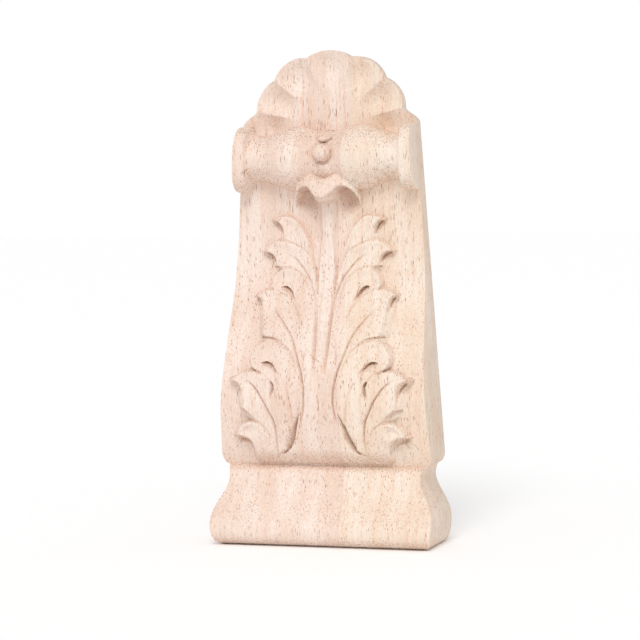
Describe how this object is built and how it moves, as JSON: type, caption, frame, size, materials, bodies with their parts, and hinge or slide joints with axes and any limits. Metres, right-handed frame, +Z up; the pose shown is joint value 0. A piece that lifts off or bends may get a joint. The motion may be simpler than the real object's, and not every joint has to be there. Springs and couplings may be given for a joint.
{
  "type": "carved wood applique",
  "caption": "Console-shaped carved wood applique: acanthus leaves on a tapering panel over a moulded foot, under a turned roll and a scallop shell, with a flat back for gluing.",
  "frame": {"origin": "middle of the bounding box at the height of the underside", "axes": "+Z up along the height, -Y out of the carved front, +Y out of the flat back, X across the width"},
  "size_m": [0.075, 0.0249, 0.16],
  "materials": {
    "bare_wood": "matt, sanded, unfinished"
  },
  "bodies": {
    "root": {"carved_block": "bare_wood"}
  },
  "joints": []
}
